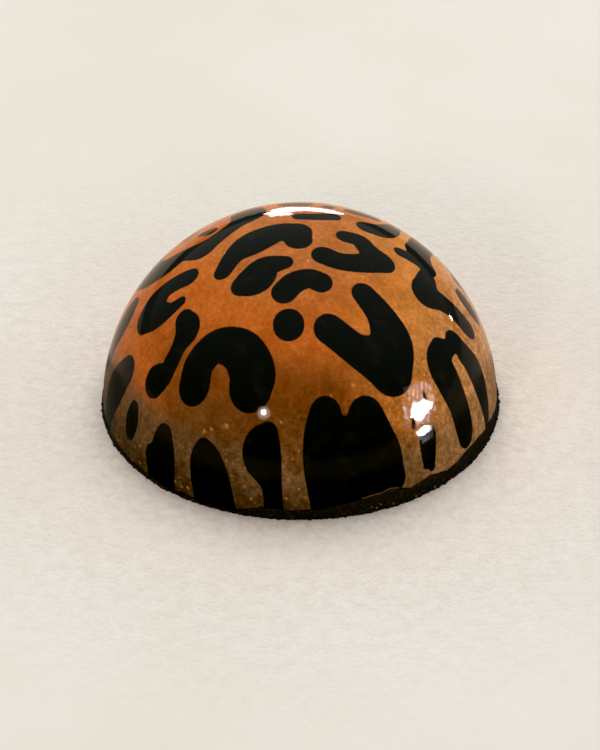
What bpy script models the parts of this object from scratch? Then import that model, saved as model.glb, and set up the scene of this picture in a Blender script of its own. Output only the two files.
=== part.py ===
"""A half-round moulded praline: a glossy chocolate dome on the thin dark layer that closes its foot.

Metres, +Z up. The origin is on the table under the middle of the dome, and the side that a
viewer faces is -Y.
"""

import math
import random

import bmesh
import bpy

MM = 0.001

DOME_RADIUS = 15.0 * MM
DOME_SEGMENTS = 72
DOME_RINGS = 18

# The foot layer's top is a plane: it is thickest on the viewer's right and thins to the left.
SEAM_HEIGHT = 0.80 * MM
SEAM_RISE = 0.52 * MM
SEAM_TURN = math.radians(-15)
SEAM_GAP = 0.30 * MM

FOOT_SEGMENTS = 168
FOOT_BANDS = 3
FOOT_STEP = 0.03 * MM
FOOT_SPREAD = 0.10 * MM
FOOT_WAVE = 0.025 * MM

# Crumbs left by the scraper along the bottom edge, thickest at the front right.
CRUMB_SEED = 11
CRUMB_COUNT = 54
CRUMB_SPREAD = 0.10 * MM
CRUMB_HALF_WIDTH = math.radians(1.6)
CRUMB_MIDDLE = math.radians(-50)
CRUMB_SCATTER = math.radians(75)

SHELL_COLOUR = (0.44, 0.15, 0.03, 1.0)
CHOCOLATE_COLOUR = (0.012, 0.008, 0.005, 1.0)


def clear_scene():
    """Remove whatever the open file holds."""
    for thing in list(bpy.data.objects):
        bpy.data.objects.remove(thing, do_unlink=True)


def make_material(name, colour, roughness, metallic):
    """Return a Principled material of one colour."""
    material = bpy.data.materials.new(name)
    material.use_nodes = True
    shader = material.node_tree.nodes["Principled BSDF"]
    shader.inputs["Base Color"].default_value = colour
    shader.inputs["Roughness"].default_value = roughness
    shader.inputs["Metallic"].default_value = metallic
    return material


def add_object(name, bm, material, collection, smooth_angle):
    """Turn a bmesh into a named object with one material."""
    bmesh.ops.recalc_face_normals(bm, faces=bm.faces)
    mesh = bpy.data.meshes.new(name)
    bm.to_mesh(mesh)
    bm.free()
    mesh.materials.append(material)
    mesh.shade_smooth()
    mesh.set_sharp_from_angle(angle=smooth_angle)
    thing = bpy.data.objects.new(name, mesh)
    collection.objects.link(thing)
    return thing


def seam_z(x, y):
    """Height of the foot layer's top over a point of the table."""
    along = x * math.cos(SEAM_TURN) + y * math.sin(SEAM_TURN)
    return SEAM_HEIGHT + SEAM_RISE * along / DOME_RADIUS


def seam_angle(azimuth, lift):
    """Angle from the pole at which the dome meets the seam plane raised by lift."""
    slope = SEAM_RISE / DOME_RADIUS * math.cos(azimuth - SEAM_TURN)
    level = (SEAM_HEIGHT + lift) / (DOME_RADIUS * math.hypot(1.0, slope))
    return math.acos(level) - math.atan(slope)


def build_dome(material, collection):
    """The moulded half sphere, solid, cut off just above the foot layer."""
    bm = bmesh.new()
    bmesh.ops.create_uvsphere(bm, u_segments=DOME_SEGMENTS, v_segments=2 * DOME_RINGS, radius=DOME_RADIUS)
    below = [v for v in bm.verts if v.co.z < -0.01 * MM]
    bmesh.ops.delete(bm, geom=below, context="VERTS")
    for vert in bm.verts:
        azimuth = math.atan2(vert.co.y, vert.co.x)
        share = math.acos(min(1.0, vert.co.z / DOME_RADIUS)) / (math.pi / 2)
        polar = share * seam_angle(azimuth, SEAM_GAP)
        vert.co.x = DOME_RADIUS * math.sin(polar) * math.cos(azimuth)
        vert.co.y = DOME_RADIUS * math.sin(polar) * math.sin(azimuth)
        vert.co.z = DOME_RADIUS * math.cos(polar)
    rim = [e for e in bm.edges if e.is_boundary]
    bmesh.ops.contextual_create(bm, geom=rim)
    return add_object("dome_shell", bm, material, collection, math.radians(40))


def crumb_list():
    """Seeded (azimuth, reach) pairs for the crumbs on the foot's edge."""
    draw = random.Random(CRUMB_SEED)
    return [
        (draw.gauss(CRUMB_MIDDLE, CRUMB_SCATTER), draw.uniform(0.25, 1.0) * CRUMB_SPREAD)
        for _ in range(CRUMB_COUNT)
    ]


def foot_reach(azimuth, crumbs):
    """How far the foot's bottom edge stands out past the dome at an azimuth."""
    wave = math.sin(5 * azimuth + 0.7) + 0.6 * math.sin(11 * azimuth + 2.1)
    reach = FOOT_SPREAD + FOOT_WAVE * wave
    for middle, size in crumbs:
        off = math.remainder(azimuth - middle, 2 * math.pi) / CRUMB_HALF_WIDTH
        if abs(off) < 1:
            reach += size * (1 - off * off)
    return reach


def build_foot(material, collection):
    """The thin layer that closes the mould: a disc with a sloping top and a ragged edge."""
    crumbs = crumb_list()
    bm = bmesh.new()
    bmesh.ops.create_cone(
        bm, cap_ends=True, segments=FOOT_SEGMENTS, radius1=DOME_RADIUS, radius2=DOME_RADIUS, depth=1.0
    )
    uprights = [e for e in bm.edges if abs(e.verts[0].co.z - e.verts[1].co.z) > 0.5]
    bmesh.ops.subdivide_edges(bm, edges=uprights, cuts=FOOT_BANDS - 1)
    for vert in bm.verts:
        azimuth = math.atan2(vert.co.y, vert.co.x)
        share = vert.co.z + 0.5
        polar = seam_angle(azimuth, 0.0)
        top_radius = DOME_RADIUS * math.sin(polar) + FOOT_STEP
        bottom_radius = DOME_RADIUS + foot_reach(azimuth, crumbs)
        radius = top_radius + (bottom_radius - top_radius) * (1 - share) ** 2
        vert.co.x = radius * math.cos(azimuth)
        vert.co.y = radius * math.sin(azimuth)
        vert.co.z = share * seam_z(top_radius * math.cos(azimuth), top_radius * math.sin(azimuth))
    return add_object("foot_layer", bm, material, collection, math.radians(40))


def main():
    """Build the praline in a collection of its own."""
    clear_scene()
    collection = bpy.data.collections.new("praline")
    bpy.context.scene.collection.children.link(collection)
    shell = make_material("printed shell", SHELL_COLOUR, 0.15, 0.3)
    chocolate = make_material("dark chocolate", CHOCOLATE_COLOUR, 0.35, 0.0)
    build_dome(shell, collection)
    build_foot(chocolate, collection)


main()
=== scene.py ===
"""The looks of a moulded praline: a glossy dome with a leopard print on a foot of dark chocolate.

Metres, +Z up, the viewer's side is -Y. Places on the dome are given in millimetres on its flat
map: (u, v) is the arc's length from the pole, with +u to the viewer's right and +v to the back.
"""

import math
import random

import bpy
import numpy as np
from mathutils import Matrix, Vector


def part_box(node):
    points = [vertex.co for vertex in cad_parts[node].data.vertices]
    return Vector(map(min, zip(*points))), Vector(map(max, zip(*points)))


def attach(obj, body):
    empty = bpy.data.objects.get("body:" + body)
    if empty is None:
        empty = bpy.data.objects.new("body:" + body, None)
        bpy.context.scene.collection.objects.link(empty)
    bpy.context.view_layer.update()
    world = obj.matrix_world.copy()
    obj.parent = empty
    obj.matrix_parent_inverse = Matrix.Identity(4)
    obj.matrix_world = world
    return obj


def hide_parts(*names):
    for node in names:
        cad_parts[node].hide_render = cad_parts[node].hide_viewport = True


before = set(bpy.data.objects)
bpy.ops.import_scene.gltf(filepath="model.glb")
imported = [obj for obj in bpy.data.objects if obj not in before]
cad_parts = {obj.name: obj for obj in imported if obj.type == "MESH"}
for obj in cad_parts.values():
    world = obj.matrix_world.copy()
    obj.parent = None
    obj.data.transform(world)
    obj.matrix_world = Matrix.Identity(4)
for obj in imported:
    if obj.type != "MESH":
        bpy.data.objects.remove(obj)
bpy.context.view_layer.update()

MM = 0.001

# The dome's radius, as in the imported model, and its mesh. The ring of the mesh's underside lies at
# a share of the rim's width.
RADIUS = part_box("dome_shell")[1].z
RADIUS_MM = RADIUS / MM
DOME_SEGMENTS = 540
DOME_RINGS = 168
INNER_RING = 0.96

# Unevenness of the gloss in mm: long waves, fine streaks, more of them where the dome is scuffed
# or chipped, and the rings that are left near the top where it was wiped.
RIPPLE = 0.0022
RIPPLE_WAVES = 26
RIPPLE_GRAIN = 0.0005
RIPPLE_SCUFFED = 0.0006
SCUFFED_PLACE = (11.6, -13.0)
SCUFFED_RADIUS = 4.2
RIPPLE_WIPED = 0.010
RIPPLE_CHIPPED = 0.35
WIPED_PLACE = (-1.5, 4.6)
WIPED_RADIUS = 5.5

# The streaks' and the rings' noise: its scale across them to a millimetre, and along a ring to a
# radian.
STREAK_SCALE = 2.6
RING_SCALE = 1.6
RING_BREAKS = 3.0

# Height of the shell's ragged lower edge over the table: (azimuth in degrees, mm).
SEAM = (
    (-180, 0.26), (-150, 0.24), (-122, 0.22), (-107, 0.24), (-101, 0.92), (-92, 0.66), (-78, 1.05),
    (-64, 1.44), (-57, 1.02), (-50, 1.36), (-44, 0.86), (-33, 1.36), (-20, 1.28), (-10, 0.88),
    (5, 0.75), (40, 0.85), (85, 0.62), (125, 0.50), (155, 0.36),
)
SEAM_WAVE = 0.035

# The foot in mm: its gap to the shell's edge, how far it steps out there, how far it stands out on
# the table and how much that varies, how far its top runs in and down under the shell, and the
# height of its top's middle. The ring of its underside lies at a share of its width.
FOOT_SEGMENTS = 1440
FOOT_LEVELS = 12
FOOT_GAP = 0.02
FOOT_STEP = 0.035
FOOT_SPREAD = 0.10
FOOT_WAVE = 0.018
FOOT_INSIDE = 0.5
FOOT_DIP = 0.1
FOOT_MIDDLE = 0.1
FOOT_RING = 0.985

# Crumbs on the foot's side, in mm, thickest round one azimuth.
CRUMBS = 900
CRUMB_HALF_SIZES = (0.04, 0.15)
CRUMB_HEIGHT = 0.12
CRUMBS_AZIMUTH = math.radians(-45)
CRUMBS_SPREAD = math.radians(70)

# Pale specks on the foot: the photograph's pixel, and the size in mm.
FOOT_SPECKS = (
    (362.0, 498.6, 0.07), (371.4, 506.7, 0.07), (376.5, 507.8, 0.09), (380.9, 504.5, 0.06),
    (393.4, 503.2, 0.08), (403.8, 502.6, 0.06), (416.1, 496.1, 0.09), (480.6, 453.4, 0.08),
)

# The camera, from the photograph: its distance, its height angle, and its frame in pixels.
CAMERA_DISTANCE = 17.6 * RADIUS
CAMERA_ELEVATION = math.radians(35.6)
FRAME_HEIGHT = 750
PIXELS_PER_RADIUS = 196.6
ORIGIN_PIXEL = (299.8, 398.7)
SENSOR_MM = 36.0

BLACK_LEVEL = 0.010

# The table top as the gloss mirrors it: dimmer and warmer than it is seen, dimmest close in front.
MIRRORED_FLOOR = (0.78, 0.60, 0.46, 1)
MIRRORED_FLOOR_NEAR = (0.17, 0.15, 0.12, 1)
SHADED_REACH = (38.0, 22.0)
SHADED_DEPTH = (8.0, 5.0)

# Strips of light that the dome mirrors, by the photograph's pixels: the middle, width and height of
# each, and its radiance where they aren't all equally bright.
CURTAIN_FOLDS = (
    (403.4, 406, 1.15, 7, 70), (405.4, 412, 1.15, 11, 90), (407.6, 418, 1.15, 7, 50),
    (408.9, 393, 1.15, 12, 70), (413.2, 391, 1.15, 15, 78), (417.3, 391, 1.15, 16, 85),
    (421.7, 391, 1.15, 16, 85), (425.9, 391, 1.15, 15, 75), (429.6, 393, 1.15, 12, 70),
    (433.0, 398, 1.15, 9, 48), (434.5, 414, 1.15, 14, 60), (437.5, 417, 1.15, 8, 40),
)
PANE_STRIPS = (
    (411.8, 413.5, 2.4, 8), (414.2, 411.3, 3.4, 14), (417.3, 411.8, 3.4, 14.5), (420.5, 411.0, 3.4, 15.5),
    (423.6, 409.0, 3.4, 13), (426.8, 406.8, 3.4, 9.5), (429.8, 405.6, 3.0, 5.5),
)
LOW_PANE_STRIPS = (
    (418.0, 433.4, 3.0, 5), (420.9, 431.6, 3.4, 8.5), (424.1, 430.2, 3.4, 9.5), (427.3, 428.6, 3.4, 7.5),
)
LOW_GLOW_STRIPS = (
    (416.8, 421.8, 2.2, 6, 55), (420.2, 421.8, 2.4, 6.5, 65), (424.0, 420.6, 1.8, 6, 48),
    (428.0, 419.0, 2.4, 7, 60), (430.4, 427.6, 2.4, 6, 90), (419.6, 438.0, 2.2, 5, 22),
    (422.6, 439.5, 2.2, 9, 17), (425.6, 440.0, 2.4, 10, 23), (428.6, 438.5, 2.4, 11, 15),
    (431.4, 434.5, 2.2, 12, 9),
)
SLATS = ((293, 208.3, 44, 2.3), (283, 211.2, 43, 2.2), (280.5, 214.4, 29, 2.4), (318, 209.9, 52, 3.4))
PANE_RADIANCE = 420
SLAT_RADIANCE = 12
PANE_COLOUR = (0.96, 0.95, 1.0)
FOLD_COLOUR = (1, 0.88, 0.87)
LOW_GLOW_COLOUR = (0.95, 0.83, 0.96)
SLAT_COLOUR = (1, 0.98, 0.97)

# The distance of such strips from the dome, and their metres to a pixel, across and down.
PANE_SCALE = (0.20, 0.0026, 0.002)
LOW_PANE_SCALE = (0.022, 0.00028, 0.00022)
SLAT_SCALE = (0.10, 0.00038, 0.0037)

# Single lamps that the dome mirrors: pixel, distance, width and height in metres, radiance, colour
# and shape.
LAMPS = {
    "pale curtain": ((420, 407), 0.22, 0.086, 0.084, 5.5, (1, 0.84, 0.88), "RECTANGLE"),
    "small lamp": ((263.4, 412.2), 0.22, 0.010, 0.010, 750, (1, 0.97, 0.94), "RECTANGLE"),
    "small lamp shade": ((263.4, 413.0), 0.22, 0.030, 0.030, 24, (1, 0.82, 0.55), "ELLIPSE"),
    "side lamp": ((450.5, 317.5), 0.20, 0.005, 0.005, 120, (1, 1, 1), "RECTANGLE"),
}

# Lamps that light the scene and aren't mirrored: azimuth and elevation in degrees, distance, width
# and height in metres, radiance and colour.
SOFT_LIGHTS = {
    "window light": (86, 68, 0.80, 0.80, 0.66, 4.15, (1, 1, 0.99)),
    "front left light": (-113, 27, 0.45, 0.05, 0.05, 34, (1, 0.94, 0.88)),
}

# The room that the gloss mirrors: its two sides in front, and the wall behind from nadir to zenith.
ROOM_LEFT = (0.14, 0.125, 0.11, 1)
ROOM_RIGHT = (0.26, 0.25, 0.225, 1)
WALL = (
    (0.50, (0.03, 0.03, 0.03, 1)),
    (0.53, (0.04, 0.038, 0.035, 1)),
    (0.55, (0.44, 0.40, 0.35, 1)),
    (0.80, (0.42, 0.385, 0.34, 1)),
    (0.92, (0.25, 0.24, 0.22, 1)),
    (1.0, (0.20, 0.19, 0.17, 1)),
)

# The print sits this far off the places below, in mm on the flat map.
PRINT_SHIFT = (0.08, -0.06)
STROKE_STEPS = 6
STROKE_BLEND = 0.3

# Each spot is one or more brush strokes: points (u, v, half-width) in mm.
SPOTS = {
    "pole crescent": [
        [(-5.93, -3.05, 0.7), (-4.98, -1.55, 0.93), (-3.56, -0.5, 1.43), (-1.7, 0.4, 1.18),
         (-0.38, 0.33, 1.12)],
        [(-0.4, 0.3, 1.1), (-0.2, -0.78, 1.02)],
    ],
    "bean": [[(-4.4, -4.9, 0.9), (-3.4, -4.5, 1.38), (-2.65, -3.52, 1.04), (-1.22, -3.22, 0.62)]],
    "small crescent": [[(-1.27, -6.0, 0.95), (-0.5, -5.2, 0.93), (0.6, -4.8, 0.85), (1.45, -5.1, 0.88)]],
    "dot": [[(-0.96, -8.62, 1.17), (-0.94, -8.78, 1.16)]],
    "hook": [
        [(-13.05, -2.95, 1.18), (-12.15, -2.35, 1.33), (-11.0, -1.83, 0.95), (-9.7, -1.85, 0.88),
         (-8.8, -2.0, 0.85)],
        [(-12.98, -3.48, 1.27), (-12.0, -3.95, 1.2), (-10.8, -4.3, 0.7), (-9.6, -4.15, 0.45)],
    ],
    "bone": [
        [(-9.38, -5.95, 0.8), (-9.17, -7.0, 1.12), (-10.0, -7.93, 0.78), (-10.97, -8.87, 0.72)],
        [(-10.97, -8.87, 0.7), (-11.87, -9.5, 0.92), (-12.98, -9.5, 1.32)],
    ],
    "horseshoe": [
        [(-9.2, -11.67, 1.5), (-8.42, -10.2, 1.38), (-6.65, -9.36, 1.32), (-4.8, -10.25, 1.64),
         (-4.0, -12.0, 1.88), (-4.22, -13.08, 1.82)],
    ],
    "split heart": [
        [(2.18, -8.93, 1.18), (4.5, -10.22, 1.3), (6.8, -10.6, 1.95), (7.4, -10.9, 1.95)],
        [(4.78, -5.53, 0.95), (6.38, -7.13, 1.28), (7.38, -8.95, 1.86), (7.45, -10.9, 1.95)],
    ],
    "upper hook": [
        [(3.35, 0.25, 0.74), (4.35, 0.12, 0.8), (4.95, -0.65, 0.84), (5.8, -1.6, 1.08)],
        [(1.67, -2.42, 0.9), (2.85, -2.83, 0.87), (4.4, -2.6, 0.93), (6.1, -1.75, 1.1)],
    ],
    "joined spots": [
        [(10.0, -2.9, 1.3), (11.2, -2.6, 1.05), (12.8, -2.45, 0.92), (14.4, -2.55, 0.98),
         (15.0, -2.45, 0.82)],
        [(10.0, -2.4, 1.15), (10.15, -1.0, 0.85), (10.2, -0.1, 0.55), (10.1, 0.7, 0.9)],
        [(10.1, 0.7, 0.9), (9.45, 1.9, 1.2), (9.6, 3.2, 1.05), (9.9, 4.5, 1.05), (10.2, 5.6, 1.0)],
        [(7.75, 0.6, 0.56), (8.8, 0.65, 0.66), (9.8, 0.7, 0.85)],
    ],
    "upper right bean": [
        [(5.1, 2.65, 0.9), (6.1, 2.9, 1.05), (6.9, 3.9, 0.85), (7.3, 5.0, 0.65), (7.6, 5.9, 0.5)],
    ],
    "top bean": [[(-0.1, 2.8, 0.55), (1.1, 2.85, 0.6), (2.4, 3.2, 0.62)]],
    "long band": [
        [(-4.2, 5.6, 1.3), (-4.1, 4.3, 1.32), (-5.0, 3.05, 0.85), (-6.3, 1.8, 0.85), (-7.7, 0.9, 1.15)],
        [(-7.7, 0.9, 1.15), (-9.3, 1.5, 0.9), (-11.0, 1.65, 1.33), (-12.4, 2.4, 1.43),
         (-13.2, 3.8, 1.5), (-13.0, 5.4, 1.4)],
    ],
    "oval over the band": [[(-7.9, 3.95, 0.3), (-7.1, 3.6, 0.58)]],
    "far left": [[(-15.3, 0.5, 1.15), (-16.3, 0.0, 1.6), (-17.8, -0.3, 1.45), (-19.4, -0.5, 1.0)]],
    "left ellipse": [
        [(-16.5, -6.1, 1.37), (-18.2, -5.85, 1.82), (-19.6, -5.6, 1.82), (-21.0, -5.7, 1.4),
         (-22.4, -6.1, 1.1)],
    ],
    "left oval": [[(-16.55, -9.95, 0.82), (-17.2, -10.45, 1.08), (-17.75, -10.75, 0.93)]],
    "left wedge": [
        [(-13.6, -14.1, 1.13), (-14.6, -15.4, 1.76), (-15.7, -16.9, 1.9), (-16.3, -17.8, 1.9)],
        [(-15.9, -14.4, 0.85), (-16.6, -16.0, 1.0)],
    ],
    "left tongue": [
        [(-9.45, -16.6, 0.9), (-9.57, -17.8, 1.78), (-9.62, -19.5, 2.27), (-9.75, -21.5, 2.4),
         (-9.9, -23.5, 2.5)],
    ],
    "middle tongue": [
        [(-2.95, -16.6, 0.88), (-3.7, -17.9, 1.8), (-3.32, -19.2, 1.42), (-2.98, -20.6, 1.03),
         (-3.0, -23.5, 1.05)],
    ],
    "low heart": [
        [(2.14, -15.32, 1.4), (2.12, -17.0, 1.84), (2.63, -19.0, 2.34), (3.5, -21.5, 2.58)],
        [(5.8, -15.1, 1.7), (6.8, -16.7, 2.17), (7.9, -18.0, 2.32), (7.4, -19.6, 2.3)],
        [(4.3, -17.05, 1.9), (5.5, -20.5, 2.6), (5.0, -23.5, 3.2)],
        [(8.7, -17.3, 1.15), (9.6, -18.1, 1.0), (10.55, -18.8, 0.55), (9.0, -19.9, 0.9)],
    ],
    "two arms": [
        [(12.0, -7.36, 1.13), (12.14, -8.43, 1.5), (13.37, -9.25, 1.52), (15.0, -10.13, 1.4),
         (16.3, -10.93, 1.43), (17.1, -11.43, 1.35)],
        [(12.5, -6.9, 0.75), (12.95, -6.1, 0.68), (13.2, -5.45, 0.85), (14.6, -5.62, 1.0)],
        [(14.6, -5.65, 0.95), (16.25, -5.78, 1.36), (17.85, -6.38, 1.28), (19.25, -6.97, 0.98),
         (20.5, -7.55, 0.62), (21.6, -8.1, 0.62)],
    ],
    "glow wedge": [
        [(12.0, -14.55, 0.72), (12.4, -15.3, 0.62), (13.15, -16.5, 0.38)],
        [(12.6, -14.2, 0.68), (13.1, -15.0, 0.6), (13.95, -16.3, 0.4)],
    ],
    "far right": [[(14.2, 0.95, 0.9), (15.1, 0.85, 1.0), (16.0, 0.9, 0.8)]],
    "rim stroke 1": [[(-1.1, 6.3, 0.7), (0.2, 6.4, 0.75)]],
    "rim stroke 2": [[(2.1, 5.8, 0.48), (2.15, 5.9, 0.48)]],
    "rim stroke 3": [[(4.1, 5.8, 0.75), (5.6, 5.9, 0.75)]],
    "rim stroke 4": [[(13.8, 3.7, 0.7), (14.8, 3.9, 0.5)]],
}

# Chips in the gloss where the dark chocolate lies bare, and the width of their soft edge in mm.
CHIPS = (
    [(10.45, -13.95, 0.12), (10.62, -14.42, 0.17)],
    [(11.02, -11.6, 0.12), (11.15, -11.88, 0.12)],
)
CHIP_EDGE = 0.06

# The half that faces away repeats spots of the front: (spot, turn in degrees, mirrored first).
BACK_COPIES = (
    ("hook", -76, False),
    ("horseshoe", 180, False),
    ("low heart", 180, False),
    ("left tongue", 180, False),
    ("middle tongue", 180, False),
    ("left wedge", 180, False),
    ("left wedge", 180, True),
    ("bone", 180, True),
    ("two arms", 180, True),
    ("left ellipse", 180, True),
    ("left oval", 180, True),
    ("dot", 175, False),
)

# Tones of the print, and of the painted shade, sheen and glints on it, linear.
ORANGE = (0.575, 0.150, 0.030, 1)
GOLD = (0.67, 0.240, 0.052, 1)
SAND = (0.66, 0.335, 0.14, 1)
COPPER = (0.46, 0.165, 0.050, 1)
# Bronze and olive: the print's own fade towards the foot, made darker with painted shade.
BRONZE = (0.275, 0.086, 0.021, 1)
LOW_BRONZE = (0.225, 0.086, 0.026, 1)
OLIVE = (0.250, 0.135, 0.056, 1)
# Painted shade, low on the left of the dome.
PAINTED_SHADE_LEFT = (0.185, 0.100, 0.042, 1)
# Painted shade along the dome's lower edge, on its left half.
PAINTED_SHADE_LOW = (0.080, 0.055, 0.026, 1)
BLACK = (0.0160, 0.0180, 0.0165, 1)
# Greyer black in random patches: painted sheen of the gloss.
SHEEN_BLACK = (0.0230, 0.0230, 0.0205, 1)
AMBER = (0.60, 0.24, 0.040, 1)
PIGMENT = (0.98, 0.62, 0.30, 1)
# Painted glints of the named larger flakes.
GLINT_GILT = (0.85, 0.36, 0.08, 1)

# Where the print's tones and its painted shade set in, in mm: none at the first place, full at the second.
GOLD_ACROSS = (1.0, 8.0)
SAND_ACROSS = (6.0, 14.0)
COPPER_HEIGHT = (12.4, 14.6)
MIDDLE_PLACE = -2.5
MIDDLE_REACH = (9.4, 4.5)
BRONZE_HEIGHT = (11.6, 9.4)
LOW_BRONZE_HEIGHT = (9.0, 7.0)
OLIVE_HEIGHT = (6.2, 3.0)
# Painted shade low on the left sets in over these heights and places.
PAINTED_SHADE_LEFT_HEIGHT = (6.9, 4.3)
PAINTED_SHADE_LEFT_ACROSS = (-1.5, -6.0)
# Painted shade along the lower edge sets in over these heights and places.
PAINTED_SHADE_LOW_HEIGHT = (3.2, 1.2)
PAINTED_SHADE_LOW_ACROSS = (6.0, 0.0)
ROUGHER_HEIGHT = (9.5, 5.0)
ROUGHER_SLOPE = -0.25

# Clouds, pores and grains of the sprayed pigment: scale, detail and roughness of their noise, the
# range of it that they span, their darkest and palest tints, and their strength high up and low down.
SPECKLES = (
    (0.6, 3.0, 0.6, (0.3, 0.7), (0.84, 0.82, 0.80, 1), (1.10, 1.11, 1.12, 1), 1.0, 1.0),
    (1.4, 2.0, 0.6, (0.3, 0.7), (0.74, 0.70, 0.64, 1), (1.2, 1.22, 1.25, 1), 0.2, 0.95),
    (3.2, 3.0, 0.7, (0.28, 0.74), (0.66, 0.62, 0.56, 1), (1.36, 1.39, 1.45, 1), 0.45, 0.90),
)

# Scattered flakes: cells to a millimetre, share of the cells that are empty, and in cells the size
# of the largest flake and how soft its edge is.
AMBER_GRAINS = (2.3, 0.45, 0.42, 0.16)
FINE_FLAKES = (3.4, 0.84, 0.26, 0.03)
LARGE_FLAKES = (1.3, 0.88, 0.19, 0.05)
FLAKE_BEND = 0.35

# The print's outline in mm: how much it frays, and over which distances its tones set in, from a
# spot and from the shell's lower edge.
PRINT_FRAY = 0.05
PRINT_EDGE = (-0.01, 0.095)
LOW_EDGE = (0.0, 0.05)

# Tones of the foot, linear.
DARK_CHOCOLATE = (0.0285, 0.0290, 0.0262, 1)
CRUMB_CHOCOLATE = (0.070, 0.056, 0.044, 1)

# Specks scattered over the foot: cells to a millimetre, share of the cells that are empty, and the
# size of the largest in cells.
SCATTERED_SPECKS = (1.6, 0.84, 0.22)

# Gloss of each material.
SHELL_SPECULAR = 0.0625
SHELL_ROUGHNESS = 0.045
CHIP_ROUGHNESS = 0.3
FOOT_SPECULAR = 0.04
FOOT_ROUGHNESS = 0.45
FLOOR_SPECULAR = 0.2
FLOOR_ROUGHNESS = 0.7

# The floor's disc in metres, and how far from the middle its looks change, in mm.
FLOOR_RADIUS = 0.26
GRAIN_REACH = (22.0, 45.0)
# How far the pink painted shadow reaches round the praline.
SHADOW_TINT_REACH = (30.0, 16.0)
# How far the frost reaches round the praline, darkened there with painted shade.
FROST_SHADE_REACH = (21.0, 15.5)
# Pink of the painted shadow near the praline.
FLOOR_SHADOW_TINT = (1.0, 0.955, 0.935, 1)

# Where a sliver of print shows along the shell's lower edge under the low heart: azimuths in
# degrees, and its height in mm.
EDGE_LINE = (-73, -61)
EDGE_LINE_HEIGHT = 0.15

# Larger pigment flakes with their glints painted into the colour: (u, v, radius) in mm.
GLINT_FLAKES = (
    (-4.5, -21.75, 0.13), (-1.1, -20.2, 0.14), (-8.8, -15.35, 0.17), (-8.1, -15.4, 0.17),
    (-6.6, -15.5, 0.2), (-11.9, -18.3, 0.13), (16.0, -5.0, 0.09), (10.65, -6.4, 0.16),
    (4.7, -4.0, 0.13), (10.7, -4.35, 0.13), (-17.0, -12.9, 0.1), (2.6, -13.9, 0.1),
    (4.4, -12.9, 0.17), (-1.7, -15.9, 0.12), (12.45, -3.5, 0.1), (-17.9, -14.9, 0.16),
    (-13.2, -18.5, 0.14), (-12.4, -18.9, 0.13), (9.5, -9.6, 0.15), (0.6, -3.2, 0.12),
)


def srgb(red, green, blue):
    """A linear colour with alpha from 0-255 display values."""
    def linear(value):
        value /= 255
        return value / 12.92 if value <= 0.04045 else ((value + 0.055) / 1.055) ** 2.4
    return (linear(red), linear(green), linear(blue), 1.0)


FOOT_SPECK = srgb(150, 112, 84)
FLOOR_CLOUD = srgb(227, 222, 213)
FLOOR_PALE = srgb(235, 232, 226)
FLOOR_GRAIN = srgb(221, 213, 204)
# Mauve of the frost near the praline, darkened with painted shade.
FLOOR_FROST_SHADE = srgb(196, 181, 174)
BACKDROP = srgb(236, 229, 218)


# Geometry of the print on the flat map

def smooth_stroke(points):
    """Catmull-Rom curve through a stroke's points, half-widths included."""
    knots = np.array(points, float)
    knots = np.vstack([2 * knots[0] - knots[1], knots, 2 * knots[-1] - knots[-2]])
    steps = np.arange(STROKE_STEPS)[:, None] / STROKE_STEPS
    curve = []
    for a, b, c, d in zip(knots, knots[1:], knots[2:], knots[3:]):
        bend = (2 * a - 5 * b + 4 * c - d) * steps ** 2 + (3 * b - a - 3 * c + d) * steps ** 3
        curve.append(0.5 * (2 * b + (c - a) * steps + bend))
    return np.vstack([*curve, knots[-2]])


def stroke_distance(u, v, points):
    """Signed distance in mm from places on the map to a stroke's outline, negative inside."""
    curve = smooth_stroke(points)
    best = np.full(u.shape, np.inf)
    for (start_u, start_v, start_width), (end_u, end_v, end_width) in zip(curve, curve[1:]):
        along_u = end_u - start_u
        along_v = end_v - start_v
        share = ((u - start_u) * along_u + (v - start_v) * along_v) / (along_u ** 2 + along_v ** 2)
        share = np.clip(share, 0, 1)
        reach = np.hypot(u - start_u - share * along_u, v - start_v - share * along_v)
        best = np.minimum(best, reach - start_width - share * (end_width - start_width))
    return best


def blended_minimum(first, second):
    """The smaller of two distances, rounded where they meet."""
    near = np.clip(1 - np.abs(first - second) / STROKE_BLEND, 0, None)
    return np.minimum(first, second) - near ** 2 * STROKE_BLEND / 4


def spot_distance(u, v, strokes):
    """Signed distance to a spot made of strokes that flow into each other."""
    best = stroke_distance(u, v, strokes[0])
    for stroke in strokes[1:]:
        best = blended_minimum(best, stroke_distance(u, v, stroke))
    return best


def turned(strokes, degrees, mirrored):
    """A spot's strokes turned about the pole, mirrored left to right first if asked."""
    cos = math.cos(math.radians(degrees))
    sin = math.sin(math.radians(degrees))
    side = -1 if mirrored else 1
    return [
        [(side * u * cos - v * sin, side * u * sin + v * cos, width) for u, v, width in stroke]
        for stroke in strokes
    ]


def print_distance(u, v):
    """Signed distance to the nearest spot of the whole print."""
    spots = list(SPOTS.values())
    spots += [turned(SPOTS[name], degrees, mirrored) for name, degrees, mirrored in BACK_COPIES]
    best = np.full(u.shape, np.inf)
    for strokes in spots:
        best = np.minimum(best, spot_distance(u - PRINT_SHIFT[0], v - PRINT_SHIFT[1], strokes))
    return best


def chip_distance(u, v):
    """Signed distance to the nearest chip."""
    return np.minimum.reduce([stroke_distance(u, v, chip) for chip in CHIPS])


def flake_glint_strength(u, v):
    """1 in the middle of a named flake's painted glint, 0 outside them all."""
    best = np.zeros(u.shape)
    for flake_u, flake_v, size in GLINT_FLAKES:
        off = np.hypot(u - flake_u, v - flake_v) / size
        best = np.maximum(best, np.clip(1.6 - 1.6 * off, 0, 1))
    return best


def round_patch(u, v, place, radius):
    """1 in the middle of a round patch of the map, 0 outside it."""
    off = np.hypot(u - place[0], v - place[1]) / radius
    return np.clip(1.3 - 1.3 * off, 0, 1)


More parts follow.
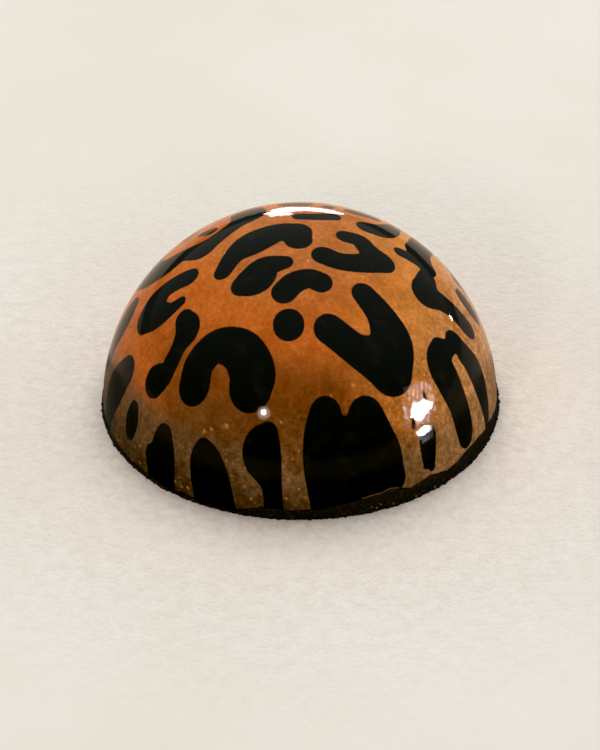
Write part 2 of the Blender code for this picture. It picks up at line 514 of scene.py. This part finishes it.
def seam_height(azimuth):
    """Height in mm of the shell's lower edge over the table at azimuths in radians."""
    degrees = np.degrees(azimuth)
    marks = np.array(SEAM + ((SEAM[0][0] + 360, SEAM[0][1]),), float)
    height = np.interp((degrees + 180) % 360 - 180, marks[:, 0], marks[:, 1])
    wave = np.sin(23 * azimuth + 1.0) + 0.7 * np.sin(41 * azimuth + 2.0) + 0.5 * np.sin(77 * azimuth)
    return height + SEAM_WAVE * wave


def ripple(u, v):
    """Slight unevenness of the moulded surface, in mm."""
    draw = random.Random(5)
    total = np.zeros(u.shape)
    for _ in range(RIPPLE_WAVES):
        turn = draw.uniform(0, math.tau)
        waves = draw.uniform(0.9, 4.5)
        along = u * math.cos(turn) + v * math.sin(turn)
        total += np.sin(waves * along + draw.uniform(0, math.tau)) / waves
    return RIPPLE * total / 4


# Meshes

def ring_mesh(name, rings, top, bottom):
    """A closed mesh from rings of points, each shaped (segments, 3), and a point at either end."""
    count = len(rings[0])
    points = np.vstack([top, *rings, bottom])
    last = len(points) - 1
    here = np.arange(count)
    after = (here + 1) % count
    faces = [(0, 1 + a, 1 + b) for a, b in zip(here, after)]
    for row in range(len(rings) - 1):
        upper = 1 + row * count
        lower = upper + count
        faces += [(upper + a, lower + a, lower + b, upper + b) for a, b in zip(here, after)]
    lowest = 1 + (len(rings) - 1) * count
    faces += [(last, lowest + b, lowest + a) for a, b in zip(here, after)]
    mesh = bpy.data.meshes.new(name)
    mesh.from_pydata(points * MM, [], [tuple(map(int, face)) for face in faces])
    mesh.shade_smooth()
    piece = bpy.data.objects.new(name, mesh)
    bpy.context.scene.collection.objects.link(piece)
    return piece, points


def add_attribute(piece, name, values):
    """Store one number a vertex for the shader."""
    layer = piece.data.attributes.new(name, "FLOAT", "POINT")
    layer.data.foreach_set("value", np.asarray(values, np.float32))


def flat_map(points):
    """(u, v) on the flat map of points of the dome, in mm."""
    side = np.hypot(points[:, 0], points[:, 1])
    arc = RADIUS_MM * np.arctan2(side, points[:, 2])
    scale = arc / np.maximum(side, 1e-9)
    return points[:, 0] * scale, points[:, 1] * scale


def shell_rings():
    """The dome's rings of points, from the pole to its ragged lower edge and in under it."""
    azimuth = -math.pi + math.tau * np.arange(DOME_SEGMENTS) / DOME_SEGMENTS
    widest = np.arccos(seam_height(azimuth) / RADIUS_MM)
    rings = []
    for ring in range(1, DOME_RINGS + 1):
        polar = widest * ring / DOME_RINGS
        u = RADIUS_MM * polar * np.cos(azimuth)
        v = RADIUS_MM * polar * np.sin(azimuth)
        radius = RADIUS_MM + ripple(u, v) * min(1.0, (DOME_RINGS - ring) / 4)
        side = radius * np.sin(polar)
        height = radius * np.cos(polar)
        rings.append(np.column_stack([side * np.cos(azimuth), side * np.sin(azimuth), height]))
    rings.append(rings[-1] * (INNER_RING, INNER_RING, 1.0))
    return rings


def store_print(piece, points):
    """Store the print's distances and the patches of uneven gloss on the shell's vertices."""
    u, v = flat_map(points)
    around = np.arctan2(points[:, 1], points[:, 0])
    above = RADIUS_MM * np.arccos(seam_height(around) / RADIUS_MM) - np.hypot(u, v)
    spots = print_distance(u, v)
    degrees = np.degrees(around)
    line = (degrees > EDGE_LINE[0]) & (degrees < EDGE_LINE[1])
    spots = np.where(line, np.maximum(spots, EDGE_LINE_HEIGHT - above), spots)
    chips = chip_distance(u, v)
    add_attribute(piece, "spot", np.minimum(spots, chips))
    add_attribute(piece, "chip", np.clip(0.5 - chips / CHIP_EDGE, 0, 1))
    add_attribute(piece, "above_edge", above)
    # Where the named flakes' glints are painted.
    add_attribute(piece, "flake", flake_glint_strength(u, v))
    add_attribute(piece, "scuff", round_patch(u, v, SCUFFED_PLACE, SCUFFED_RADIUS))
    add_attribute(piece, "wiped", round_patch(u, v, WIPED_PLACE, WIPED_RADIUS))


def build_shell(material):
    """The printed dome down to its ragged lower edge."""
    rings = shell_rings()
    lowest = rings[-1][:, 2].min()
    piece, points = ring_mesh("praline_shell", rings, (0, 0, RADIUS_MM), (0, 0, lowest))
    store_print(piece, points)
    piece.data.materials.append(material)
    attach(piece, "root")
    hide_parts("dome_shell")
    return piece


def crumb_bumps():
    """Seeded crumbs on the foot's side: (azimuth, height in mm, half-size in mm, relief in mm)."""
    draw = random.Random(11)
    bumps = []
    for _ in range(CRUMBS):
        azimuth = draw.gauss(CRUMBS_AZIMUTH, CRUMBS_SPREAD)
        half_size = draw.uniform(*CRUMB_HALF_SIZES)
        height = abs(draw.gauss(0.0, CRUMB_HEIGHT))
        bumps.append((azimuth, height, half_size, draw.uniform(0.3, 1.0) * half_size))
    return bumps


def foot_relief(azimuth, height):
    """How far crumbs lift the foot's side outwards, in mm."""
    total = np.zeros(height.shape)
    for middle, level, half_size, relief in crumb_bumps():
        turn = (azimuth - middle + math.pi) % math.tau - math.pi
        off = np.hypot(turn * RADIUS_MM, height - level) / half_size
        total = np.maximum(total, relief * np.clip(1 - off ** 2, 0, None) ** 0.6)
    return total


def speck_strength(points):
    """1 in the middle of a speck on the foot's near side, 0 outside them all."""
    best = np.zeros(len(points))
    for x, y, size in FOOT_SPECKS:
        start, ray = pixel_ray(x, y)
        off = np.linalg.norm(np.cross(points - np.array(start) / MM, np.array(ray)), axis=1) / size
        best = np.maximum(best, np.where(points[:, 1] < 0, np.clip(2 - 2 * off, 0, 1), 0))
    return best


def build_foot(material):
    """The thin closing layer under the shell, wider at the bottom and rough with crumbs."""
    azimuth = math.tau * np.arange(FOOT_SEGMENTS) / FOOT_SEGMENTS
    top = seam_height(azimuth) - FOOT_GAP
    top_radius = np.sqrt(RADIUS_MM ** 2 - top ** 2)
    wave = np.sin(5 * azimuth + 0.7) + 0.6 * np.sin(11 * azimuth + 2.1) + 0.5 * np.sin(29 * azimuth)
    spread = FOOT_SPREAD + FOOT_WAVE * wave
    around = np.column_stack([np.cos(azimuth), np.sin(azimuth)])
    inside = np.column_stack([around * (top_radius[:, None] - FOOT_INSIDE), top - FOOT_DIP])
    rings = [inside]
    for level in range(FOOT_LEVELS + 1):
        share = level / FOOT_LEVELS
        height = top * (1 - share)
        ledge = FOOT_STEP * min(1.0, level * 0.7)
        radius = top_radius + ledge + (RADIUS_MM - top_radius + spread) * share ** 2
        radius = radius + foot_relief(azimuth, height) * min(1.0, 0.35 + level / 3)
        rings.append(np.column_stack([around * radius[:, None], height]))
    rings.append(rings[-1] * (FOOT_RING, FOOT_RING, 1.0))
    piece, points = ring_mesh("praline_foot", rings, (0, 0, FOOT_MIDDLE), (0, 0, 0))
    add_attribute(piece, "speck", speck_strength(points))
    piece.data.materials.append(material)
    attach(piece, "root")
    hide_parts("foot_layer")
    return piece


# Materials

class Graph:
    """Adds nodes to a node tree and links what it is given."""

    def __init__(self, tree):
        self.tree = tree

    def add(self, kind, inputs=(), **settings):
        """Add a node; inputs maps a socket's name or number to a value or another node's output."""
        node = self.tree.nodes.new(kind)
        for name, value in settings.items():
            setattr(node, name, value)
        for key, value in dict(inputs).items():
            if isinstance(value, bpy.types.NodeSocket):
                self.tree.links.new(value, node.inputs[key])
            else:
                node.inputs[key].default_value = value
        return node

    def math(self, operation, first, second=0.0, third=0.0):
        """One scalar calculation."""
        inputs = {0: first, 1: second, 2: third}
        return self.add("ShaderNodeMath", inputs, operation=operation).outputs[0]

    def vector(self, operation, first, second):
        """One vector calculation."""
        return self.add("ShaderNodeVectorMath", {0: first, 1: second}, operation=operation).outputs[0]

    def fade(self, value, low, high, to_low=0.0, to_high=1.0):
        """Smooth step of a value from low to high."""
        inputs = {"Value": value, "From Min": low, "From Max": high, "To Min": to_low, "To Max": to_high}
        return self.add("ShaderNodeMapRange", inputs, interpolation_type="SMOOTHSTEP").outputs[0]

    def mix(self, factor, first, second, blend="MIX"):
        """Mix two colours."""
        inputs = {"Factor": factor, 6: first, 7: second}
        return self.add("ShaderNodeMix", inputs, data_type="RGBA", blend_type=blend).outputs[2]

    def noise(self, vector, scale, detail=2.0, roughness=0.5):
        """Fractal noise between 0 and 1."""
        inputs = {"Vector": vector, "Scale": scale, "Detail": detail, "Roughness": roughness}
        return self.add("ShaderNodeTexNoise", inputs).outputs[0]

    def ramp(self, value, stops):
        """Colour ramp with (place, colour) stops."""
        node = self.add("ShaderNodeValToRGB", {0: value})
        elements = node.color_ramp.elements
        for place, colour in stops[1:-1]:
            elements.new(place).color = colour
        elements[0].position, elements[0].color = stops[0]
        elements[-1].position, elements[-1].color = stops[-1]
        return node.outputs[0]

    def attribute(self, name):
        """A number stored on the vertices."""
        return self.add("ShaderNodeAttribute", attribute_name=name).outputs["Fac"]


def new_material(name):
    """A material with a Principled shader; returns it, its graph and the shader."""
    material = bpy.data.materials.new(name)
    material.use_nodes = True
    return material, Graph(material.node_tree), material.node_tree.nodes["Principled BSDF"]


def object_millimetres(graph):
    """Object coordinates in millimetres."""
    place = graph.add("ShaderNodeTexCoord").outputs["Object"]
    return graph.vector("MULTIPLY", place, (1 / MM, 1 / MM, 1 / MM))


def meridian_streaks(graph, place):
    """Fine streaks that run from the pole to the foot, between 0 and 1."""
    parts = graph.add("ShaderNodeSeparateXYZ", {0: place}).outputs
    around = graph.math("MULTIPLY", graph.math("ARCTAN2", parts[1], parts[0]), RADIUS_MM * STREAK_SCALE)
    streak = graph.add("ShaderNodeCombineXYZ", {0: around, 1: parts[2]}).outputs[0]
    return graph.noise(streak, 1.0, 3.0, 0.65)


def wiped_rings(graph, place):
    """Fine broken rings round the pole, between 0 and 1."""
    parts = graph.add("ShaderNodeSeparateXYZ", {0: place}).outputs
    around = graph.math("MULTIPLY", graph.math("ARCTAN2", parts[0], parts[1]), RING_BREAKS)
    polar = graph.math("ARCCOSINE", graph.math("DIVIDE", parts[2], RADIUS_MM))
    arc = graph.math("MULTIPLY", polar, RADIUS_MM * RING_SCALE)
    ring = graph.add("ShaderNodeCombineXYZ", {0: around, 1: arc}).outputs[0]
    return graph.noise(ring, 1.0, 3.0, 0.6)


def shimmer_colour(graph, place):
    """Airbrushed cocoa butter: orange above, gold on the right, bronze and olive towards the foot deepened
    with painted shade, and painted shade low on the left and along its lower edge.
    """
    parts = graph.add("ShaderNodeSeparateXYZ", {0: place}).outputs
    wander = graph.math("MULTIPLY_ADD", graph.noise(place, 0.22, 3.0), 2.0, -1.0)
    across = graph.math("ADD", parts[0], wander)
    height = graph.math("ADD", parts[2], wander)
    colour = graph.mix(graph.fade(across, *GOLD_ACROSS), ORANGE, GOLD)
    colour = graph.mix(graph.fade(parts[2], *COPPER_HEIGHT, 0.0, 0.75), colour, COPPER)
    side = graph.math("ABSOLUTE", graph.math("SUBTRACT", across, MIDDLE_PLACE))
    middle = graph.fade(side, *MIDDLE_REACH)
    # Bronze and olive towards the foot: the print's own fade, deepened with painted shade.
    colour = graph.mix(graph.math("MULTIPLY", graph.fade(height, *BRONZE_HEIGHT), middle), colour, BRONZE)
    low_bronze_and_shade = graph.math("MULTIPLY", graph.fade(height, *LOW_BRONZE_HEIGHT), middle)
    colour = graph.mix(low_bronze_and_shade, colour, LOW_BRONZE)
    colour = graph.mix(graph.fade(height, *OLIVE_HEIGHT), colour, OLIVE)
    colour = graph.mix(graph.fade(across, *SAND_ACROSS, 0.0, 0.6), colour, SAND)
    # Painted shade low on the left of the dome.
    painted_left_shade = graph.math("MULTIPLY", graph.fade(height, *PAINTED_SHADE_LEFT_HEIGHT), graph.fade(across, *PAINTED_SHADE_LEFT_ACROSS))
    colour = graph.mix(graph.math("MULTIPLY", painted_left_shade, 0.95), colour, PAINTED_SHADE_LEFT)
    # Painted shade along the lower edge, darkest on the left half.
    lowest = graph.fade(height, *PAINTED_SHADE_LOW_HEIGHT)
    lowest = graph.math("MULTIPLY", lowest, graph.fade(across, *PAINTED_SHADE_LOW_ACROSS))
    colour = graph.mix(graph.math("MULTIPLY", lowest, 0.8), colour, PAINTED_SHADE_LOW)
    low = graph.fade(graph.math("MULTIPLY_ADD", parts[0], ROUGHER_SLOPE, parts[2]), *ROUGHER_HEIGHT)
    return add_flakes(graph, place, low, speckle(graph, place, low, colour))


def speckle(graph, place, low, colour):
    """Clouds, grains and pores of the sprayed pigment over a colour, rougher towards the foot."""
    for scale, detail, roughness, span, dark, pale, above, below in SPECKLES:
        speckles = graph.fade(graph.noise(place, scale, detail, roughness), *span)
        tinted = graph.mix(1.0, colour, graph.mix(speckles, dark, pale), "MULTIPLY")
        strength = graph.math("MULTIPLY_ADD", low, below - above, above)
        colour = graph.mix(strength, colour, tinted)
    return colour


def scattered_flakes(graph, place, scale, share, size, softness):
    """Round flakes in random cells: share is the part of the cells that has none."""
    noise = graph.add("ShaderNodeTexNoise", {"Vector": place, "Scale": 2.5 * scale, "Detail": 1.0})
    inputs = {0: noise.outputs["Color"], 1: (FLAKE_BEND / scale,) * 3, 2: place}
    bent = graph.add("ShaderNodeVectorMath", inputs, operation="MULTIPLY_ADD")
    cells = graph.add("ShaderNodeTexVoronoi", {"Vector": bent.outputs[0], "Scale": scale})
    pick = graph.add("ShaderNodeSeparateColor", {0: cells.outputs["Color"]}).outputs
    reach = graph.math("MULTIPLY", graph.fade(pick[0], share, 1.0), size)
    inside = graph.math("SUBTRACT", reach, cells.outputs["Distance"])
    glint = graph.math("MULTIPLY_ADD", pick[1], 0.7, 0.3)
    return graph.math("MULTIPLY", graph.fade(inside, 0.0, softness), glint)


def add_flakes(graph, place, low, colour):
    """Amber grains, fine pale flakes and the painted glints of the named larger ones over a colour."""
    amber = graph.math("MULTIPLY", scattered_flakes(graph, place, *AMBER_GRAINS), low)
    colour = graph.mix(graph.math("MULTIPLY", amber, 0.8), colour, AMBER)
    fine = graph.math("MULTIPLY", scattered_flakes(graph, place, *FINE_FLAKES), 0.45)
    large = scattered_flakes(graph, place, *LARGE_FLAKES)
    pale = graph.math("MAXIMUM", fine, large)
    pale = graph.math("MULTIPLY", pale, graph.math("MULTIPLY_ADD", low, 0.6, 0.4))
    return graph.mix(graph.attribute("flake"), graph.mix(pale, colour, PIGMENT), GLINT_GILT)


def gloss_relief(graph, place):
    """Fine unevenness of the gloss in mm: streaks, chips and wiped rings."""
    relief = graph.math("MULTIPLY_ADD", graph.attribute("scuff"), RIPPLE_SCUFFED, RIPPLE_GRAIN)
    relief = graph.math("MULTIPLY_ADD", graph.attribute("chip"), RIPPLE_CHIPPED, relief)
    relief = graph.math("MULTIPLY", meridian_streaks(graph, place), relief)
    wiped = graph.math("MULTIPLY", graph.attribute("wiped"), RIPPLE_WIPED)
    return graph.math("MULTIPLY_ADD", wiped_rings(graph, place), wiped, relief)


def shell_material():
    """Glossy print: bronze shimmer with near-black spots."""
    material, graph, shader = new_material("leopard print")
    place = object_millimetres(graph)
    shimmer = shimmer_colour(graph, place)
    fray = graph.math("MULTIPLY_ADD", graph.noise(place, 5.0, 2.0), PRINT_FRAY, -PRINT_FRAY / 2)
    edge = graph.math("ADD", graph.attribute("spot"), fray)
    printed = graph.fade(edge, *PRINT_EDGE)
    low_edge = graph.fade(graph.math("ADD", graph.attribute("above_edge"), fray), *LOW_EDGE)
    printed = graph.math("MULTIPLY", printed, low_edge)
    # Random greyer patches in the black spots are painted sheen.
    painted_sheen = graph.fade(graph.noise(place, 0.7, 3.0, 0.6), 0.5, 0.8)
    black = graph.mix(painted_sheen, BLACK, SHEEN_BLACK)
    colour = graph.mix(printed, black, shimmer)
    rough = graph.math("MULTIPLY_ADD", printed, 0.01, SHELL_ROUGHNESS)
    rough = graph.math("MULTIPLY_ADD", graph.attribute("chip"), CHIP_ROUGHNESS, rough)
    relief = gloss_relief(graph, place)
    bump = graph.add("ShaderNodeBump", {"Strength": 1.0, "Distance": MM, "Height": relief})
    tree = material.node_tree
    tree.links.new(colour, shader.inputs["Base Color"])
    tree.links.new(rough, shader.inputs["Roughness"])
    tree.links.new(bump.outputs[0], shader.inputs["Normal"])
    shader.inputs["Specular IOR Level"].default_value = SHELL_SPECULAR
    return material


def foot_material():
    """Dark chocolate with paler crumbs and a few pale specks."""
    material, graph, shader = new_material("dark chocolate")
    place = object_millimetres(graph)
    crumb = graph.noise(place, 5.0, 3.0, 0.6)
    colour = graph.mix(graph.fade(crumb, 0.50, 0.76), DARK_CHOCOLATE, CRUMB_CHOCOLATE)
    scale, share, largest = SCATTERED_SPECKS
    cells = graph.add("ShaderNodeTexVoronoi", {"Vector": place, "Scale": scale})
    pick = graph.add("ShaderNodeSeparateColor", {0: cells.outputs["Color"]}).outputs
    size = graph.math("MULTIPLY", graph.fade(pick[0], share, 1.0), largest)
    speck = graph.math("LESS_THAN", cells.outputs["Distance"], size)
    speck = graph.math("MAXIMUM", speck, graph.attribute("speck"))
    colour = graph.mix(speck, colour, FOOT_SPECK)
    rough = graph.math("MULTIPLY_ADD", crumb, 0.3, FOOT_ROUGHNESS)
    bump = graph.add("ShaderNodeBump", {"Strength": 0.5, "Distance": 0.02 * MM, "Height": crumb})
    tree = material.node_tree
    tree.links.new(colour, shader.inputs["Base Color"])
    tree.links.new(rough, shader.inputs["Roughness"])
    tree.links.new(bump.outputs[0], shader.inputs["Normal"])
    shader.inputs["Specular IOR Level"].default_value = FOOT_SPECULAR
    return material


def mirrored_floor(graph, place, distance, colour):
    """The floor's colour as it is seen, and dimmer as the gloss mirrors it."""
    mirrored = graph.add("ShaderNodeLightPath").outputs["Is Glossy Ray"]
    depth = graph.add("ShaderNodeSeparateXYZ", {0: place}).outputs[1]
    shaded = graph.math("MULTIPLY", graph.fade(distance, *SHADED_REACH), graph.fade(depth, *SHADED_DEPTH))
    dim = graph.mix(shaded, MIRRORED_FLOOR, MIRRORED_FLOOR_NEAR)
    return graph.mix(mirrored, colour, dim)


def floor_material():
    """Pale stone with faint clouds and a fine grain; near the praline a pinker painted shadow and a
    frosted mottling darkened with painted shade.
    """
    material, graph, shader = new_material("pale floor")
    place = object_millimetres(graph)
    cloud = graph.fade(graph.noise(place, 0.018, 4.0, 0.6), 0.3, 0.75)
    colour = graph.mix(cloud, FLOOR_CLOUD, FLOOR_PALE)
    grain = graph.fade(graph.noise(place, 0.9, 3.0, 0.7), 0.3, 0.75)
    distance = graph.add("ShaderNodeVectorMath", {0: place}, operation="LENGTH").outputs["Value"]
    strength = graph.math("MULTIPLY", grain, graph.fade(distance, *GRAIN_REACH, 0.65, 0.08))
    colour = graph.mix(strength, colour, FLOOR_GRAIN)
    # Pinker painted shadow around the praline.
    tinted = graph.mix(1.0, colour, FLOOR_SHADOW_TINT, "MULTIPLY")
    colour = graph.mix(graph.fade(distance, *SHADOW_TINT_REACH), colour, tinted)
    # Frosted mottling near the praline, darkened with painted shade.
    frost_shade = graph.fade(graph.noise(place, 1.3, 3.0, 0.7), 0.38, 0.68)
    frost_shade = graph.math("MULTIPLY", frost_shade, graph.fade(distance, *FROST_SHADE_REACH, 0.0, 0.40))
    colour = graph.mix(frost_shade, colour, FLOOR_FROST_SHADE)
    colour = mirrored_floor(graph, place, distance, colour)
    fine = graph.fade(graph.noise(place, 2.4, 2.0, 0.6), 0.3, 0.75)
    crystals = graph.math("ADD", grain, fine)
    crystals = graph.math("MULTIPLY", crystals, graph.fade(distance, *GRAIN_REACH, 1.0, 0.05))
    bump = graph.add("ShaderNodeBump", {"Strength": 0.5, "Distance": 0.1 * MM, "Height": crystals})
    tree = material.node_tree
    tree.links.new(colour, shader.inputs["Base Color"])
    tree.links.new(bump.outputs[0], shader.inputs["Normal"])
    shader.inputs["Roughness"].default_value = FLOOR_ROUGHNESS
    shader.inputs["Specular IOR Level"].default_value = FLOOR_SPECULAR
    return material


# Camera, floor and light

def build_camera():
    """The photograph's view, aimed so that the foot's centre falls on its pixel."""
    focal_pixels = PIXELS_PER_RADIUS * CAMERA_DISTANCE / RADIUS
    data = bpy.data.cameras.new("camera")
    data.sensor_width = SENSOR_MM
    data.lens = focal_pixels / FRAME_HEIGHT * SENSOR_MM
    data.clip_start = 0.01
    camera = bpy.data.objects.new("camera", data)
    bpy.context.scene.collection.objects.link(camera)
    tilt = math.atan((ORIGIN_PIXEL[1] - FRAME_HEIGHT / 2) / focal_pixels)
    back = Vector((0, -math.cos(CAMERA_ELEVATION), math.sin(CAMERA_ELEVATION)))
    camera.location = back * CAMERA_DISTANCE
    camera.rotation_euler = (math.pi / 2 - CAMERA_ELEVATION + tilt, 0, 0)
    bpy.context.scene.camera = camera


def pixel_ray(x, y):
    """Start and direction of the photograph's line of sight through a pixel."""
    focal_pixels = PIXELS_PER_RADIUS * CAMERA_DISTANCE / RADIUS
    cos, sin = math.cos(CAMERA_ELEVATION), math.sin(CAMERA_ELEVATION)
    ahead = Vector((0, cos, -sin))
    right = Vector((1, 0, 0))
    up = Vector((0, sin, cos))
    across = (x - ORIGIN_PIXEL[0]) / focal_pixels
    down = (y - ORIGIN_PIXEL[1]) / focal_pixels
    return -ahead * CAMERA_DISTANCE, (ahead + right * across - up * down).normalized()


def mirror_line(x, y):
    """The dome's point under a pixel, and the direction that it mirrors to the camera."""
    start, ray = pixel_ray(x, y)
    nearest = -start.dot(ray)
    depth = nearest - math.sqrt(nearest ** 2 - start.length_squared + RADIUS ** 2)
    point = start + ray * depth
    normal = point.normalized()
    return point, ray - 2 * ray.dot(normal) * normal


def add_lamp(name, place, rotation, width, height, radiance, colour):
    """A flat lamp of a given brightness."""
    data = bpy.data.lights.new(name, "AREA")
    data.shape = "RECTANGLE"
    data.size = width
    data.size_y = height
    data.energy = radiance * math.pi * width * height
    data.color = colour
    lamp = bpy.data.objects.new(name, data)
    lamp.location = place
    lamp.rotation_euler = rotation
    lamp.visible_camera = False
    bpy.context.scene.collection.objects.link(lamp)
    return lamp


def add_reflection(name, pixel, distance, width, height, radiance, colour, shape="RECTANGLE"):
    """A lamp that only shows as a highlight, upright at a pixel of the photograph."""
    x, y = pixel
    point, towards = mirror_line(x, y)
    upright = mirror_line(x, y - 1)[1] - mirror_line(x, y + 1)[1]
    across = upright.cross(towards).normalized()
    rotation = Matrix((across, towards.cross(across), towards)).transposed().to_euler()
    lamp = add_lamp(name, point + towards * distance, rotation, width, height, radiance, colour)
    lamp.data.shape = shape
    lamp.visible_diffuse = False
    return lamp


def add_soft_light(name, azimuth, elevation, distance, width, height, radiance, colour):
    """A lamp that lights the scene from a direction in degrees and isn't mirrored."""
    turn, rise = math.radians(azimuth), math.radians(elevation)
    towards = Vector((math.cos(turn) * math.cos(rise), math.sin(turn) * math.cos(rise), math.sin(rise)))
    rotation = (-towards).to_track_quat("-Z", "Y").to_euler()
    lamp = add_lamp(name, towards * distance, rotation, width, height, radiance, colour)
    lamp.visible_glossy = False


def add_strips(label, rows, scale, colour, shape="RECTANGLE"):
    """Numbered reflections: rows of middle, width and height in pixels, and radiance."""
    distance, metres_across, metres_down = scale
    lamps = []
    for number, (x, y, across, down, radiance) in enumerate(rows, 1):
        name = "%s %d" % (label, number)
        width = across * metres_across
        height = down * metres_down
        lamps.append(add_reflection(name, (x, y), distance, width, height, radiance, colour, shape))
    return lamps


def equally_bright(rows, radiance):
    """The rows with the same radiance added to each."""
    return [(*row, radiance) for row in rows]


def build_lights(shell):
    """Soft light from behind and above, and the lamps that the dome mirrors in the photograph."""
    for name, values in SOFT_LIGHTS.items():
        add_soft_light(name, *values)
    lamps = [add_reflection(name, *values) for name, values in LAMPS.items()]
    panes = equally_bright(PANE_STRIPS, PANE_RADIANCE)
    low_panes = equally_bright(LOW_PANE_STRIPS, PANE_RADIANCE)
    slats = equally_bright(SLATS, SLAT_RADIANCE)
    lamps += add_strips("curtain fold", CURTAIN_FOLDS, PANE_SCALE, FOLD_COLOUR)
    lamps += add_strips("pane strip", panes, PANE_SCALE, PANE_COLOUR)
    lamps += add_strips("low pane strip", low_panes, LOW_PANE_SCALE, PANE_COLOUR)
    lamps += add_strips("low glow strip", LOW_GLOW_STRIPS, LOW_PANE_SCALE, LOW_GLOW_COLOUR)
    lamps += add_strips("slat behind", slats, SLAT_SCALE, SLAT_COLOUR, "ELLIPSE")
    mirrored = bpy.data.collections.new("what shows the reflections")
    mirrored.objects.link(shell)
    for lamp in lamps:
        lamp.light_linking.receiver_collection = mirrored


def build_world():
    """A dim warm room with a paler wall behind, above a dark horizon."""
    world = bpy.data.worlds.new("studio")
    bpy.context.scene.world = world
    world.use_nodes = True
    graph = Graph(world.node_tree)
    direction = graph.add("ShaderNodeTexCoord").outputs["Generated"]
    parts = graph.add("ShaderNodeSeparateXYZ", {0: direction}).outputs
    level = graph.math("MULTIPLY_ADD", parts[2], 0.5, 0.5)
    wall = graph.ramp(level, WALL)
    behind = graph.fade(parts[1], 0.3, 0.95)
    front = graph.mix(graph.fade(parts[0], -0.3, 0.9), ROOM_LEFT, ROOM_RIGHT)
    room = graph.mix(behind, front, wall)
    seen = graph.add("ShaderNodeLightPath").outputs["Is Camera Ray"]
    colour = graph.mix(seen, room, BACKDROP)
    world.node_tree.links.new(colour, world.node_tree.nodes["Background"].inputs["Color"])


def build_floor():
    """A plain pale table top."""
    bpy.ops.mesh.primitive_circle_add(vertices=128, radius=FLOOR_RADIUS, fill_type="NGON")
    floor = bpy.context.object
    floor.name = "floor"
    floor.data.materials.append(floor_material())


def set_contrast():
    """The photograph's deep blacks."""
    view = bpy.context.scene.view_settings
    view.view_transform = "Standard"
    view.use_curve_mapping = True
    view.curve_mapping.black_level = (BLACK_LEVEL, BLACK_LEVEL, BLACK_LEVEL)
    view.curve_mapping.update()


def main():
    """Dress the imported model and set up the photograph's view."""
    build_camera()
    shell = build_shell(shell_material())
    build_foot(foot_material())
    build_floor()
    build_world()
    build_lights(shell)
    set_contrast()


main()
